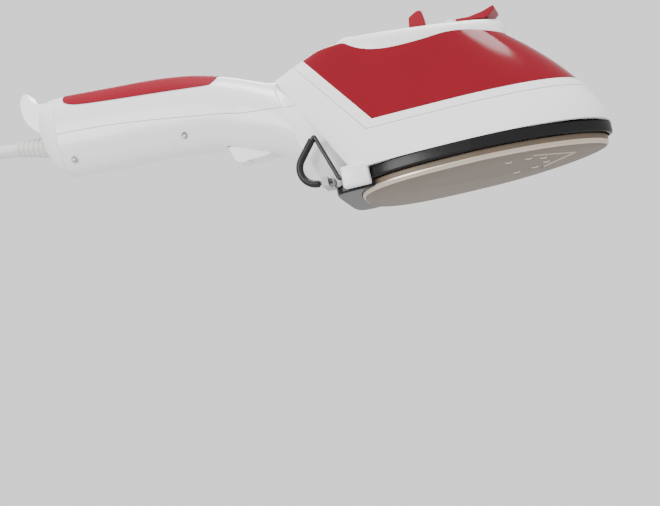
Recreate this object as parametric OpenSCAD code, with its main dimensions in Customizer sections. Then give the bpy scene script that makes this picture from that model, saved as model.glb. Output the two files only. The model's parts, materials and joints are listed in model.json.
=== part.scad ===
// Hand-held garment steamer: steam head with soleplate, water tank, handle and lead.
// Origin: centre of the flat sole face. +X towards the nose, +Z up, sole face at z = 0.

/* [Soleplate] */
// Length of the sole face
sole_l = 127; // [105:1:153]
// Width of the sole face
sole_w = 62; // [56:1:75]
// Thickness of the soleplate
sole_t = 5.4; // [4.5:0.1:6.5]
// Outward growth of the plate's bevelled edge
sole_bevel = 1.2; // [0.8:0.1:1.5]
// Radius of each steam hole
steam_hole_r = 1.4; // [1:0.1:1.8]

/* [Steam head] */
// Height where the housing meets the skirt
skirt_top = 11.7; // [11:0.1:13]
// Width that the skirt stands out from the sole face, each side
skirt_out = 4.2; // [3.6:0.1:5]
// Wall thickness of the head shells
head_wall = 2.2; // [1.8:0.1:2.8]
// Height of the seam between housing and tank frame
seam_z = 31.5; // [29:0.5:34]
// Height of the tank frame band
frame_h = 4.8; // [4:0.1:6]
// Wall thickness of the water tank
tank_wall = 1.8; // [1.4:0.1:2.4]
// Height of the tank's top
head_top = 86; // [84:0.5:88]

/* [Handle] */
// Length of the grip behind the neck
handle_l = 92; // [76:1:112]
// Height of the grip
grip_h = 44.6; // [37:0.2:53.6]
// Width of the grip
grip_w = 35; // [29:0.5:42]
// Wall thickness of the handle shells
handle_wall = 2.2; // [1.8:0.1:2.8]

/* [Controls] */
// Width of the trigger
trigger_w = 12; // [10:0.1:14.4]
// Radius of the steam knob's disc
knob_r = 7; // [5.8:0.1:8.4]
// Width of the filler lid
lid_w = 14; // [12:0.5:17]
// Radius of the wire of the side loop
wire_r = 1.1; // [0.9:0.01:1.32]

/* [Lead] */
// Diameter of the mains lead
cord_d = 7; // [5.8:0.1:8.4]
// Length of the tapered strain relief outside the cap
relief_l = 21; // [20:1:24]

/* [Hidden] */

white = [0.93, 0.93, 0.92];
red = [0.74, 0.06, 0.16];
clear_red = [0.80, 0.07, 0.20];
black = [0.05, 0.05, 0.055];
taupe = [0.62, 0.57, 0.51];
steel = [0.62, 0.63, 0.65];
grey = [0.45, 0.45, 0.46];
dark = [0.15, 0.15, 0.16];

seg = 56;              // points of a ring in the large shells
hoop_n = 44;           // points of a ring in the handle
fit = 0.15;            // gap between fixed neighbours
run = 0.05;            // radial running clearance of a pin in its bore
move = 0.35;           // gap between parts that move past each other
heel = -sole_l / 2;    // rear end of the sole face
nose = sole_l / 2;     // front end of the sole face
aft = heel + 63.5;     // how far everything behind the heel shifts with the sole

// ---------- outlines and lofts ----------

// A point of an egg-shaped outline: rear end xr, nose xf, widest at xm, half width w,
// squareness pr behind the widest place and pf ahead of it.
function egg_pt(a, xr, xf, xm, w, pr, pf) =
    let (c = cos(a), s = sin(a), e = c >= 0 ? pf : pr, h = c >= 0 ? xf - xm : xm - xr)
    [xm + h * sign(c) * pow(abs(c), 2 / e), w * sign(s) * pow(abs(s), 2 / e)];
function egg(xr, xf, xm, w, pr, pf, n = seg) =
    [for (k = [0:n - 1]) egg_pt(360 * (k + 0.5) / n, xr, xf, xm, w, pr, pf)];

// A ring of the outline at height z, which may slope along x.
function level(outline, z, slope = 0) = [for (p = outline) [p[0], p[1], z + slope * p[0]]];

// Solid skin through rings that all have the same number of points.
module loft(rings) {
    n = len(rings[0]);
    m = len(rings);
    points = [for (r = rings) for (p = r) p];
    sides = [for (i = [0:m - 2]) for (k = [0:n - 1])
        let (a = i * n + k, b = (i + 1) * n + k, c = (i + 1) * n + (k + 1) % n, d = i * n + (k + 1) % n)
        each [[a, b, c], [a, c, d]]];
    bottom = [for (k = [0:n - 1]) k];
    top = [for (k = [n - 1:-1:0]) (m - 1) * n + k];
    polyhedron(points, concat(sides, [bottom], [top]));
}

// A prism across the object from an outline drawn in the X-Z plane.
module across(outline, half) {
    translate([0, half, 0])
        rotate([90, 0, 0])
            linear_extrude(2 * half)
                polygon(outline);
}

// A pin or bore along Y, centred at y, through the point p = [x, z].
module cross_pin(p, r, length, y = 0, fn = 32) {
    translate([p[0], y + length / 2, p[1]])
        rotate([90, 0, 0])
            cylinder(h = length, r = r, $fn = fn);
}

// A round bar between two points.
module bar(p, q, r, fn = 24) {
    v = q - p;
    translate(p)
        rotate([0, acos(v[2] / norm(v)), atan2(v[1], v[0])])
            cylinder(h = norm(v), r = r, $fn = fn);
}

// A round tube swept along a route.
function unit(v) = v / norm(v);
function heading(r, i) = unit(r[min(i + 1, len(r) - 1)] - r[max(i - 1, 0)]);
module swept(route, r, n = 10) {
    loft([for (i = [0:len(route) - 1])
        let (t = heading(route, i), u = unit(cross(t, [1, 2, 0])), v = cross(t, u))
        [for (k = [0:n - 1]) let (a = 360 * k / n) route[i] + r * (cos(a) * u - sin(a) * v)]]);
}

// ---------- soleplate and skirt ----------

sole_xm = -0.011 * sole_l;         // widest place of the sole
function sole_outline(grow) =
    egg(heel - grow, nose + grow, sole_xm, sole_w / 2 + grow, 3, 1.7);

hole_places = [for (s = [-1, 1]) each [
    [0.11 * sole_l, s * 0.2 * sole_w],
    [0.19 * sole_l, s * 0.17 * sole_w],
    [0.244 * sole_l, s * 0.08 * sole_w]
]];
groove_tip = 0.37 * sole_l;        // where the two steam grooves meet
groove_l = 25;
groove_turn = 37;                  // angle of each groove to the middle line
block_xr = heel + 16.5;            // rear of the steam block
block_xf = nose - 20;              // nose of the steam block
block_w = sole_w / 2 - 9;          // its half width
block_h = 9;
chamber_w = block_w - 9;           // half width of the steam chamber
heater_bend_x = 20;                // centre of the element's bend
screw_x = [block_xr + 7, heater_bend_x + 10.5];
cover_xr = block_xr + 14;          // ends of the chamber's cover
cover_xf = heater_bend_x + 7.2;

module soleplate() {
    color(taupe)
        difference() {
            loft([level(sole_outline(0), 0), level(sole_outline(0.8 * sole_bevel), 1),
                  level(sole_outline(sole_bevel), 2.4), level(sole_outline(sole_bevel), sole_t)]);
            for (p = hole_places)
                translate([p[0], p[1], -1])
                    cylinder(h = sole_t + 2, r = steam_hole_r, $fn = 24);
            for (s = [-1, 1])
                translate([groove_tip, 0, -1])
                    rotate([0, 0, s * (180 - groove_turn)])
                        translate([0, -0.8, 0])
                            cube([groove_l, 1.6, 1.6]);
        }
}

skirt_wall = 2;
skirt_low = sole_t;
flange_xr = heel - 12;             // rear of the low flange behind the plate
flange_w = sole_w / 2 - 5.8;       // its half width
flange_z = [2, 6.5];
wall_xr = heel + 9.5;              // rear edge of the tall band
deck_z = skirt_top - 2.2;

module heat_shield_skirt() {
    color(black)
        union() {
            difference() {
                translate([0, 0, skirt_low])
                    linear_extrude(skirt_top - skirt_low)
                        polygon(sole_outline(skirt_out));
                translate([0, 0, skirt_low - 1])
                    linear_extrude(deck_z - skirt_low + 1)
                        polygon(sole_outline(skirt_out - skirt_wall));
                translate([0, 0, skirt_low])
                    linear_extrude(skirt_top)
                        polygon(egg(block_xr - 2, block_xf + 2, 0, block_w + 2, 3, 2.4));
                translate([wall_xr - 50, -60, skirt_low - 1])
                    cube([50, 120, 20]);
            }
            difference() {
                translate([0, 0, flange_z[0]])
                    linear_extrude(flange_z[1] - flange_z[0])
                        polygon(egg(flange_xr, 20, heel + 3.5, flange_w, 6, 2));
                translate([0, 0, 1])
                    linear_extrude(sole_t - 1)
                        polygon(sole_outline(sole_bevel + move));
                translate([wall_xr + 2, -60, 1])
                    cube([200, 120, 8]);
            }
            translate([heel + 4.5, -flange_w + 4, sole_t])
                cube([wall_xr - heel - 2, 2 * flange_w - 8, skirt_top - sole_t]);
        }
}

// ---------- steam generator ----------

module steam_block() {
    color(steel)
        difference() {
            translate([0, 0, sole_t])
                linear_extrude(block_h)
                    polygon(egg(block_xr, block_xf, 0, block_w, 3, 2.4));
            translate([0, 0, sole_t + 3])
                linear_extrude(block_h)
                    polygon(egg(cover_xr + 4, cover_xf - 3.2, 0, chamber_w, 3, 2.4));
            heater_tube(3.3);
            for (x = screw_x)
                translate([x, 0, sole_t - 1])
                    cylinder(h = block_h + 2, r = 1.6, $fn = 24);
        }
}

heater_z = sole_t + block_h;       // the element lies half sunk in the block's top
heater_y = (block_w + chamber_w) / 2;
heater_xr = block_xr + 9;          // rear end of the element's tube
module heater_tube(r) {
    translate([heater_bend_x, 0, heater_z])
        rotate([0, 0, -90])
            rotate_extrude(angle = 180, $fn = 96)
                translate([heater_y, 0])
                    circle(r = r, $fn = 32);
    for (s = [-1, 1])
        translate([heater_bend_x, s * heater_y, heater_z])
            rotate([0, -90, 0])
                cylinder(h = heater_bend_x - heater_xr, r = r, $fn = 32);
}

module heating_element() {
    color(grey)
        union() {
            heater_tube(3.25);
            for (s = [-1, 1])
                translate([heater_xr, s * heater_y, heater_z])
                    rotate([0, -90, 0])
                        cylinder(h = 6, r = 1.2, $fn = 24);
        }
}

cover_z = sole_t + block_h;
module chamber_seal() {
    color([0.75, 0.25, 0.15])
        difference() {
            translate([0, 0, cover_z])
                linear_extrude(0.8)
                    polygon(egg(cover_xr, cover_xf, 0, heater_y - 3.6, 3, 2.4));
            translate([0, 0, cover_z - 1])
                linear_extrude(3)
                    polygon(egg(cover_xr + 4, cover_xf - 3.2, 0, heater_y - 6.6, 3, 2.4));
        }
}

drip_x = -20;                      // axis of the steam knob, the valve and the drip hole
module chamber_cover() {
    color(steel)
        difference() {
            translate([0, 0, cover_z + 0.8])
                linear_extrude(1.2)
                    polygon(egg(cover_xr, cover_xf, 0, heater_y - 3.6, 3, 2.4));
            translate([drip_x, 0, cover_z - 1])
                cylinder(h = 5, r = 2.2, $fn = 32);
        }
}

module thermostat() {
    color(steel)
        translate([10, 0, cover_z + 2])
            union() {
                cylinder(h = 6, r = 6.2, $fn = 48);
                translate([-9, -1.6, 5])
                    cube([18, 3.2, 0.8]);
            }
}

module thermal_fuse() {
    color([0.85, 0.8, 0.6])
        translate([-6, 0, cover_z + 2 + 2.5])
            rotate([90, 0, 0])
                translate([0, 0, -7])
                    cylinder(h = 14, r = 2.4, $fn = 32);
}

module sole_screws() {
    color(steel)
        for (x = screw_x)
            translate([x, 0, sole_t + 0.2])
                union() {
                    cylinder(h = block_h - 0.2, r = 1.5, $fn = 24);
                    translate([0, 0, block_h - 0.2])
                        cylinder(h = 1.4, r = 2.7, $fn = 32);
                }
}

// ---------- head envelope ----------

rear_lean = 0.58;                  // how fast the joint with the neck leans back
peak_z = 75;                       // height of the rear top edge
function rise(z) = max(0, (z - skirt_top) / 62);
function nose_at(z) = nose + 4 - 47 * pow(rise(z), 1.58);
function side_at(z) = sole_w / 2 + skirt_out - 0.8 - 21 * pow(rise(z), 1.05);
function plane_x(z) = heel + 0.5 - rear_lean * (z - skirt_top);
function rear_at(z) = max(plane_x(z) - 14, plane_x(peak_z) + 0.3 + 2.25 * (z - peak_z));
function head_ring(z, inset) =
    level(egg(rear_at(z) + inset, nose_at(z) - inset, heel + 51.5, side_at(z) - inset,
              3.2 + 2 * rise(z), 2.3), z);
head_levels = [18, 24.5, 31.5, 38, 45, 52, 59, 65, 70, 75, 79, 82];
module head_solid(inset, z_from, z_to) {
    mid = [for (z = head_levels) if (z > z_from + 1 && z < z_to - 2.2) z];
    loft(concat([for (z = concat([z_from], mid, [z_to - 1.2])) head_ring(z, inset)],
                [head_ring(z_to, inset + 1.6)]));
}

// Side view of the seam: level under the tank, then leaning back behind it.
seam_x = heel + 11.5;
seam_lean = 1.316;
function seam_line(z, shift) = seam_x + shift - (z - seam_z) / seam_lean;
// Region above and ahead of the seam, moved in by up (height) and shift (forward).
function tank_side(up, shift) = [
    [seam_line(seam_z + up, shift), seam_z + up],
    [nose + 40, seam_z + up],
    [nose + 40, 110],
    [seam_line(110, shift), 110]
];

joint_z = [7, 75];                 // bottom and top of the joint with the neck
module rear_cut() {
    across([[plane_x(-5), -5], [plane_x(peak_z + 3), peak_z + 3],
            [heel - 100, peak_z + 3], [heel - 100, -5]], 60);
}

spine_slope = -0.12;
spine_rear = heel - 2.5;
spine_front = heel + 88.5;
spine_w = 12.8;
spine_h = 11.8;                    // height of the spine over its base
spine_wall = 1.6;
spine_z0 = head_top - 16.8;        // height of its base at x = 0
function spine_base(x) = spine_z0 + spine_slope * x;
function spine_top(x) = spine_base(x) + spine_h;
function spine_ring(up, inset) =
    level(egg(spine_rear + inset, spine_front - inset, heel + 38.5, spine_w - inset, 2.6, 2.6, 48),
          spine_z0 + up, spine_slope);
module spine_solid(inset, from, to) {
    loft([spine_ring(from, inset), spine_ring(to, inset)]);
}

// Side loop: wire from a boss to a sharp apex, round the bottom and into a lug.
loop_y = sole_w / 2 - 2.6;         // distance of the loop's plane from the middle
loop_z = 9;                        // height of its hinge axis
loop_foot = heel - 6.9;            // where the straight leg turns into the boss
loop_apex = [heel - 16, 34.3];
loop_centre = [heel - 17.5, 18];
loop_r = loop_centre[1] - loop_z;
sleeve_r = wire_r + 0.8;
boss_x = [heel - 5.3, wall_xr - 0.3];
boss_y = [loop_y - 2.8, loop_y + 2.8];
lug_x = [heel - 16, heel - 12.6];

module head_housing() {
    color(white)
        difference() {
            union() {
                difference() {
                    head_solid(0, skirt_top, head_top - 2);
                    head_solid(head_wall, skirt_top - 1, head_top - 4);
                    across(tank_side(0, 0), 60);
                    rear_cut();
                }
                for (s = [-1, 1])
                    translate([boss_x[0], s > 0 ? boss_y[0] : -boss_y[1], 3])
                        cube([boss_x[1] - boss_x[0], boss_y[1] - boss_y[0], skirt_top]);
            }
            translate([boss_x[0] - 1, -loop_y, loop_z])
                rotate([0, 90, 0])
                    cylinder(h = 5, r = wire_r + run, $fn = 32);
        }
}

lug_low = flange_z[1];
module loop_lug() {
    color(grey)
        difference() {
            union() {
                translate([lug_x[0], -loop_y - 2.4, loop_z - 2.4])
                    cube([lug_x[1] - lug_x[0], 8.2, 4.8]);
                translate([heel - 11.8 - 4.2, -flange_w + 1, lug_low])
                    cube([5.2, 6, loop_z + 2.4 - lug_low]);
            }
            translate([lug_x[0] - 5, -loop_y, loop_z])
                rotate([0, 90, 0])
                    cylinder(h = 20, r = wire_r + run, $fn = 32);
        }
}

// Tangent point of the line from the apex to the round bottom.
apex_v = loop_apex - loop_centre;
tangent_a = atan2(apex_v[1], apex_v[0]) + acos(loop_r / norm(apex_v));
tangent_p = loop_centre + loop_r * [cos(tangent_a), sin(tangent_a)];
sleeve_start = loop_apex + 1.8 * (tangent_p - loop_apex) / norm(tangent_p - loop_apex);
function loop_pt(p) = [p[0], -loop_y, p[1]];

module wire_loop() {
    foot = [loop_foot, loop_z];
    bottom = [loop_centre[0], loop_z];
    color(steel)
        union() {
            bar(loop_pt([boss_x[0] + 3, loop_z]), loop_pt(foot), wire_r);
            translate(loop_pt(foot))
                sphere(r = wire_r, $fn = 24);
            bar(loop_pt(foot), loop_pt(loop_apex), wire_r);
            translate(loop_pt(loop_apex))
                sphere(r = wire_r, $fn = 24);
            bar(loop_pt(loop_apex), loop_pt(sleeve_start), wire_r);
            bar(loop_pt(bottom), loop_pt([lug_x[1] + 1, loop_z]), wire_r);
            translate(loop_pt([lug_x[1] + 1.6, loop_z]))
                sphere(r = wire_r + 0.5, $fn = 24);
        }
}

// The thick part of the loop, from just below the apex to the lug: wire and sleeve as one.
module loop_sleeve() {
    arc = [for (i = [0:12])
        let (a = tangent_a + (270 - tangent_a) * i / 12)
        loop_pt(loop_centre + loop_r * [cos(a), sin(a)])];
    color(dark)
        swept(concat([loop_pt(sleeve_start)], arc), sleeve_r, 12);
}

// ---------- tank ----------

tank_z = seam_z + frame_h;
tank_shift = 7.2;
tube_y = 6;                        // sideways place of the delivery tube
suction_z = 42;
module tank_frame() {
    color(white)
        difference() {
            intersection() {
                head_solid(0, seam_z - 1, head_top - 2);
                across(tank_side(0, 0), 60);
            }
            across(tank_side(frame_h, tank_shift), 60);
            rear_cut();
            difference() {
                head_solid(head_wall + 0.6, seam_z - 2, tank_z - 1);
                across([[seam_x - 40, 0], [seam_x + 10, 0], [seam_x + 10, 60], [seam_x - 40, 60]], 60);
            }
            translate([drip_x, 0, seam_z])
                cylinder(h = 20, r = 3.2, $fn = 32);
            translate([heel - 10, 0, suction_z])
                rotate([0, 90, 0])
                    cylinder(h = 40, r = tube_r + fit, $fn = 32);
        }
}

// The tank's inside ends below the spine that is sunk into its top.
module tank_inside() {
    difference() {
        intersection() {
            head_solid(tank_wall, tank_z - 3, head_top - tank_wall);
            across(tank_side(frame_h + tank_wall, tank_shift + tank_wall), 60);
        }
        spine_solid(-fit - tank_wall, -tank_wall, 60);
    }
}

neck_x = drip_x + 32;              // axis of the filler neck
neck_r = 5.2;
module water_tank() {
    color(clear_red, 0.6)
        difference() {
            intersection() {
                head_solid(0, tank_z - 2, head_top);
                across(tank_side(frame_h, tank_shift), 60);
            }
            tank_inside();
            spine_solid(-fit, 0, 60);
            translate([drip_x, 0, tank_z - 1])
                cylinder(h = 60, r = 3.2, $fn = 32);
            translate([neck_x, 0, tank_z + 10])
                cylinder(h = 60, r = neck_r + fit, $fn = 48);
            translate([heel - 10, 0, suction_z])
                rotate([0, 90, 0])
                    cylinder(h = 40, r = tube_r + fit, $fn = 32);
        }
}

button_at = heel + 5.5;
button_l = 4.6;                    // half length and half width of the button
module spine_cover() {
    color(white)
        difference() {
            union() {
                loft([spine_ring(0, 0), spine_ring(7.5, 0), spine_ring(10, 1.3), spine_ring(spine_h, 3.6)]);
                for (s = [-1, 1])
                    cross_pin(lid_axis, 1.9, 2.2, s * 3.4);
            }
            loft([spine_ring(-1, spine_wall), spine_ring(7, spine_wall),
                  spine_ring(spine_h - spine_wall, 4.6)]);
            translate([drip_x, 0, spine_z0])
                cylinder(h = 40, r = knob_r + move, $fn = 64);
            translate([neck_x, 0, spine_z0 - 10])
                cylinder(h = 40, r = neck_r + fit, $fn = 48);
            button_shape(move, 60, 100);
            cross_pin(lid_axis, 2.1, 4.4);
            cross_pin(lid_axis, 0.8 + run, 20);
        }
}

module button_shape(grow, from, to) {
    translate([button_at, 0, from])
        cylinder(h = to - from, r = button_l + grow, $fn = 64);
}
button_top = spine_top(button_at) + 1.5;
button_low = spine_base(button_at) + 4.2;
module release_button() {
    color(white)
        union() {
            button_shape(0, button_low, button_top - 0.8);
            translate([button_at, 0, button_top - 0.8])
                cylinder(h = 0.8, r1 = button_l, r2 = button_l - 0.8, $fn = 64);
            translate([button_at, 0, button_low])
                cylinder(h = 1.2, r = button_l + 1.2, $fn = 64);
        }
}

// The spring stands on the tank under the button.
module release_spring() {
    color(steel)
        translate([button_at, 0, spine_base(button_at - 3)])
            spring_coil(2.6, 0.35, button_low - spine_base(button_at - 3), 3);
}

// A compression spring of round wire, standing on z = 0.
module spring_coil(r, wire, h, turns) {
    steps = 16;
    n = 6;
    total = turns * steps;
    loft([for (i = [0:total])
        let (a = 360 * i / steps, z = wire + (h - 2 * wire) * i / total)
        [for (k = [0:n - 1])
            let (b = -360 * (k + 0.5) / n, q = r + wire * cos(b))
            [q * cos(a), q * sin(a), z + wire * sin(b)]]]);
}

// ---------- steam valve ----------

knob_base = spine_top(drip_x) - 2.2;
rod_r = 2;
rod_lift = 2.5;
module steam_knob() {
    color(red)
        translate([drip_x, 0, knob_base])
            difference() {
                union() {
                    cylinder(h = 3.4, r = knob_r, $fn = 64);
                    translate([0, 0, -5])
                        cylinder(h = 6, r = 4, $fn = 48);
                    across([[-4.7, 3], [4.7, 3], [3.8, 12.6], [1.7, 13.1], [-3.5, 10.6]], 2);
                }
                translate([0, 0, -6])
                    cylinder(h = 6 + rod_lift + 0.6, r = rod_r + 0.08, $fn = 32);
            }
}

module valve_rod() {
    color([0.8, 0.8, 0.78])
        translate([drip_x, 0, 0])
            union() {
                translate([0, 0, tank_z + 3])
                    cylinder(h = knob_base - tank_z - 3, r = rod_r, $fn = 32);
                translate([0, 0, tank_z])
                    cylinder(h = 3, r1 = 0.9, r2 = rod_r, $fn = 32);
            }
}

module valve_seat() {
    color([0.2, 0.2, 0.22])
        translate([drip_x, 0, 0])
            difference() {
                translate([0, 0, cover_z + 2])
                    cylinder(h = tank_z + 2 - cover_z - 2, r = 3, $fn = 32);
                translate([0, 0, cover_z])
                    cylinder(h = 60, r = 1.25, $fn = 32);
                translate([0, 0, tank_z - 0.6])
                    cylinder(h = 10, r = rod_r + 0.4, $fn = 32);
            }
}

// ---------- filler ----------

lid_axis = [drip_x + 17.6, spine_top(drip_x + 17.6) + 1];
lid_tip = neck_x + 10.4;
module inlet_neck() {
    color([0.9, 0.9, 0.9])
        translate([neck_x, 0, 0])
            difference() {
                translate([0, 0, spine_base(neck_x) - 8])
                    cylinder(h = spine_h + 7, r = neck_r, $fn = 48);
                translate([0, 0, spine_base(neck_x) - 10])
                    cylinder(h = 50, r = neck_r - 1.2, $fn = 48);
            }
}

lid_from = lid_axis[0] + 3.8;
function lid_under(x) = spine_top(x) + 0.5;
module inlet_lid() {
    z0 = lid_axis[1];
    color(red)
        difference() {
            union() {
                across([[lid_from, lid_under(lid_from)], [lid_tip - 6, lid_under(lid_tip - 6)],
                        [lid_tip, z0 + 0.9], [lid_tip - 0.3, z0 + 3.1], [lid_tip - 6.5, z0 + 1.1],
                        [lid_from + 7, z0], [lid_from, z0 + 0.6]], lid_w / 2);
                across([[lid_axis[0] - 1.3, z0 - 0.8], [lid_from + 1, z0 - 0.6], [lid_from + 1, z0 + 0.5],
                        [lid_axis[0] + 0.6, z0 + 1.4], [lid_axis[0] - 0.9, z0 + 1.1]], 1.7);
            }
            cross_pin(lid_axis, 0.8 + run, 20);
        }
}

module lid_pin() {
    color(steel)
        cross_pin(lid_axis, 0.8, 9);
}

module lid_seal() {
    color(dark)
        difference() {
            translate([neck_x, 0, spine_top(neck_x) - 2.2])
                cylinder(h = 6, r = neck_r - 1.2 - 2 * move, $fn = 48);
            across([[neck_x - 20, lid_under(neck_x - 20)], [neck_x + 20, lid_under(neck_x + 20)],
                    [neck_x + 20, 120], [neck_x - 20, 120]], 20);
        }
}

// ---------- handle ----------

handle_xr = -129.8 - handle_l + aft;    // where the shells meet the end cap
// Ring between a top and a bottom point in the X-Z plane; its half width runs from
// w_top to w_low and p is its squareness.
function hoop(top, bottom, w_low, w_top, p = 2.4) =
    let (c = (top + bottom) / 2, h = (top - bottom) / 2)
    [for (k = [0:hoop_n - 1])
        let (a = 360 * (k + 0.5) / hoop_n, u = sign(cos(a)) * pow(abs(cos(a)), 2 / p),
             v = sign(sin(a)) * pow(abs(sin(a)), 2 / p), w = (w_low * (1 - u) + w_top * (1 + u)) / 2)
        [c[0] + h[0] * u, -w * v, c[1] + h[1] * u]];
hw = grip_w / 2;
gh = grip_h / 2;
// Share of the grip's length, height of its middle, and what its half height loses.
stations = [
    [0, 75.4, -0.1],
    [0.14, 74.5, 0],
    [0.34, 73.2, 0.1],
    [0.6, 71.8, 0.5],
    [0.82, 69.3, 1],
    [1, 65.7, 2]
];
neck_rings = [
    [[-120.6, 82.7], [-117.5, 40.6], hw + 0.1, hw - 0.3],
    [[-110.5, 78.3], [-103.7, 35], hw + 1.6, hw - 0.2],
    [[-104.6, 75.9], [-93.5, 28.7], hw + 4, hw - 0.6],
    [[-101.8, 75.4], [-86, 21.5], hw + 6, hw - 1],
    [[-100.6, 75.2], [-80.5, 9.5], hw + 7.2, hw - 1.4]
];
function handle_rings(inset) = concat(
    [for (s = stations)
        let (x = handle_xr + s[0] * handle_l, h = gh - s[2] - inset)
        hoop([x, s[1] + h], [x, s[1] - h], hw - inset, hw - inset)],
    [for (r = neck_rings)
        let (v = (r[0] - r[1]) / norm(r[0] - r[1]), d = [aft, 0])
        hoop(r[0] + d - inset * v, r[1] + d + inset * v, r[2] - inset, r[3] - inset)],
    [let (t = [plane_x(joint_z[1]), joint_z[1]], b = [plane_x(joint_z[0]), joint_z[0]],
          v = (t - b) / norm(t - b))
        hoop(t - inset * v, b + inset * v, hw + 7.5 - inset, hw - 2 - inset)]);
// Side view of the parting line, from rear to front.
parting = [[-260, 75], [-225, 73.7], [-183.6, 70.3], [-131.3, 62.1], [-112, 58.4], [-50, 52]];
function lower_side() = concat([for (p = parting) [p[0] + aft, p[1]]], [[-50 + aft, -20], [-260 + aft, -20]]);
function upper_side() = concat([for (p = parting) [p[0] + aft, p[1]]], [[-50 + aft, 140], [-260 + aft, 140]]);

module handle_shell() {
    r = handle_rings(handle_wall);
    n = len(r);
    difference() {
        loft(handle_rings(0));
        loft(concat([[for (p = r[0]) p - [2, 0, 0]]], r, [[for (p = r[n - 1]) p + [6, 0, 0]]]));
    }
}

trigger_pivot = [-105.5 + aft, 42];
trigger_x = [-131.2 + aft, -103 + aft];
handle_screw_at = [[handle_xr + 6.5, 58.5], [handle_xr + 70, 56]];
module handle_lower_shell() {
    color(white)
        union() {
            difference() {
                intersection() {
                    handle_shell();
                    across(lower_side(), 60);
                }
                translate([trigger_x[0] - 0.6, -trigger_w / 2 - move, 20])
                    cube([trigger_x[1] - trigger_x[0] - 2, trigger_w + 2 * move, 29]);
                for (p = handle_screw_at)
                    cross_pin(p, 1.7, 14, -14);
            }
            for (s = [-1, 1])
                difference() {
                    translate([trigger_x[1] - 6, s * (trigger_w / 2 + move + 1) - 1, 38.2])
                        cube([7, 2, 6.8]);
                    cross_pin(trigger_pivot, 1 + run, 40);
                }
        }
}

// Outline of the soft inlay in side view.
inlay_xr = handle_xr + 4.5;
inlay_xf = handle_xr + handle_l - 0.6;
inlay = [[inlay_xr, 120], [inlay_xr, 94], [inlay_xr + 1.4, 91], [inlay_xr + 6, 88.6], [inlay_xr + 14, 87],
         [inlay_xr + 34, 84.6], [inlay_xf - 28, 82], [inlay_xf - 6, 79.8], [inlay_xf - 2, 80.6],
         [inlay_xf, 83], [inlay_xf, 120]];
inlay_depth = 1.2;
module handle_upper_shell() {
    color(white)
        difference() {
            intersection() {
                handle_shell();
                across(upper_side(), 60);
            }
            difference() {
                across(inlay, 60);
                loft(handle_rings(inlay_depth));
            }
        }
}

module grip_inlay() {
    color(red)
        difference() {
            intersection() {
                loft(handle_rings(-0.35));
                across(inlay, 60);
            }
            loft(handle_rings(inlay_depth));
        }
}

// The lead leaves the cap a little upwards.
cord_tilt = 8.7;
relief_seat = [handle_xr - 9.6, 72.8];
relief_neck_r = 5;
module along_lead() {
    translate([relief_seat[0], 0, relief_seat[1]])
        rotate([0, cord_tilt - 90, 0])
            children();
}

module end_cap() {
    x0 = handle_xr;
    c = stations[0][1];
    color(white)
        difference() {
            union() {
                loft([
                    hoop([x0 - 11.6, c + gh - 8], [x0 - 11.9, c - gh + 20], hw - 8, hw - 6),
                    hoop([x0 - 10, c + gh - 3.6], [x0 - 10.8, c - gh + 14], hw - 4.6, hw - 3.6),
                    hoop([x0 - 7.6, c + gh - 1.2], [x0 - 8.2, c - gh + 8.4], hw - 2.4, hw - 2),
                    hoop([x0 - 4, c + gh - 0.2], [x0 - 4.6, c - gh + 3.4], hw - 0.9, hw - 0.8),
                    hoop([x0, c + gh + 0.1], [x0, c - gh - 0.1], hw, hw)]);
                hook_fin();
            }
            along_lead()
                union() {
                    cylinder(h = 30, r = relief_neck_r + 1.35, $fn = 48);
                    translate([0, 0, -20])
                        cylinder(h = 21, r = relief_neck_r + 0.1, $fn = 48);
                }
        }
}

module hook_fin() {
    x = handle_xr;
    across([[x - 6, 77], [x - 10.5, 78], [x - 15.7, 81.1], [x - 20.1, 86.2], [x - 22.4, 92],
            [x - 22.9, 97], [x - 22.3, 101.2], [x - 20.6, 103.6], [x - 18.3, 104.4],
            [x - 16.4, 100.4], [x - 13.6, 97.6], [x - 10.4, 96.4], [x - 6, 96.6]], 6.5);
}

module trigger() {
    x = trigger_pivot[0] + 105.5;
    color(white)
        difference() {
            across([[x - 103, 40.4], [x - 103, 43.6], [x - 107, 45], [x - 115, 46], [x - 128, 46.4],
                    [x - 131.2, 46], [x - 131.2, 45], [x - 128.5, 37.8], [x - 127.4, 36.6],
                    [x - 125.5, 36.2], [x - 119.7, 36.5], [x - 110.7, 36.9], [x - 107, 38.4]],
                   trigger_w / 2);
            cross_pin(trigger_pivot, 1 + run, 40);
        }
}

module trigger_pin() {
    color(steel)
        cross_pin(trigger_pivot, 1, trigger_w + 2 * move + 4);
}

// ---------- pump ----------

pump_x = -120 + aft;
pump_z = 50;
pump_h = 20;
piston_h = 4;
tube_r = 1.8;
module pump_body() {
    color([0.85, 0.85, 0.83])
        translate([pump_x, 0, 0])
            difference() {
                union() {
                    translate([0, 0, pump_z])
                        cylinder(h = pump_h, r = 6, $fn = 48);
                    translate([0, 0, pump_z + pump_h])
                        cylinder(h = 3, r = 3, $fn = 32);
                    translate([-4, 3 - hw, pump_z + 10])
                        cube([8, 2 * hw - 6, 2]);
                }
                translate([0, 0, pump_z - 1])
                    cylinder(h = pump_h - 1, r = 4.5, $fn = 48);
                translate([0, 0, pump_z + 10])
                    cylinder(h = 20, r = 1.2, $fn = 32);
            }
}

module pump_piston() {
    color([0.25, 0.25, 0.27])
        translate([pump_x, 0, 0])
            union() {
                translate([0, 0, pump_z + 4])
                    cylinder(h = piston_h, r = 4.45, $fn = 48);
                translate([0, 0, 46.8])
                    cylinder(h = pump_z + 4 - 46.8, r = 2, $fn = 32);
            }
}

module pump_spring() {
    color(steel)
        translate([pump_x, 0, pump_z + 4 + piston_h])
            spring_coil(3.2, 0.4, pump_h - 1 - 5 - piston_h, 4);
}

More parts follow.
